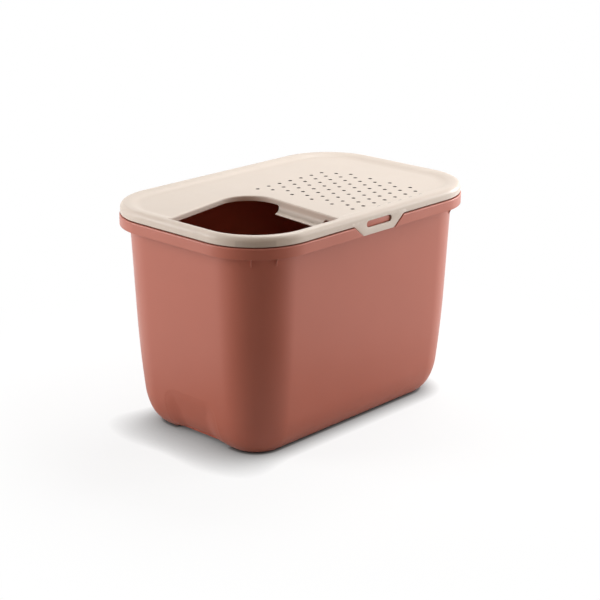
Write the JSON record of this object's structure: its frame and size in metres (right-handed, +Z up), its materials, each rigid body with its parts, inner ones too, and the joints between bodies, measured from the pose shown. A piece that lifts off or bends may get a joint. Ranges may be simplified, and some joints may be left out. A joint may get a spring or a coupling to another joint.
{
  "type": "top entry litter box",
  "caption": "Deep rounded plastic tub with a lid that clips on; the lid has a corner entry well, a perforated deck and a clip with a window on each long side.",
  "frame": {"origin": "centre of the base footprint's bounding box, on the floor", "axes": "+Z up; +X along the long side, away from the entry's end; -Y towards the long side beside which the entry lies"},
  "size_m": [0.585, 0.39, 0.395],
  "materials": {
    "tub_plastic": "satin moulded plastic, terracotta",
    "lid_plastic": "satin moulded plastic, cream"
  },
  "bodies": {
    "tub": {"tub": "tub_plastic"},
    "lid": {"lid": "lid_plastic"},
    "front_clip": {"front_clip": "lid_plastic"},
    "back_clip": {"back_clip": "lid_plastic"}
  },
  "joints": [
    {"name": "lid_lift", "type": "slide", "parent": "tub", "child": "lid", "axis": [0, 0, 1], "range_m": [0, 0.2]},
    {"name": "front_clip_flex", "type": "hinge", "parent": "lid", "child": "front_clip", "pos_m": [0, -0.1935, 0.383], "axis": [-1, 0, 0], "range_deg": [0, 8], "stiffness_Nm_per_rad": 2.5},
    {"name": "back_clip_flex", "type": "hinge", "parent": "lid", "child": "back_clip", "pos_m": [0, 0.1935, 0.383], "axis": [1, 0, 0], "range_deg": [0, 8], "stiffness_Nm_per_rad": 2.5}
  ]
}
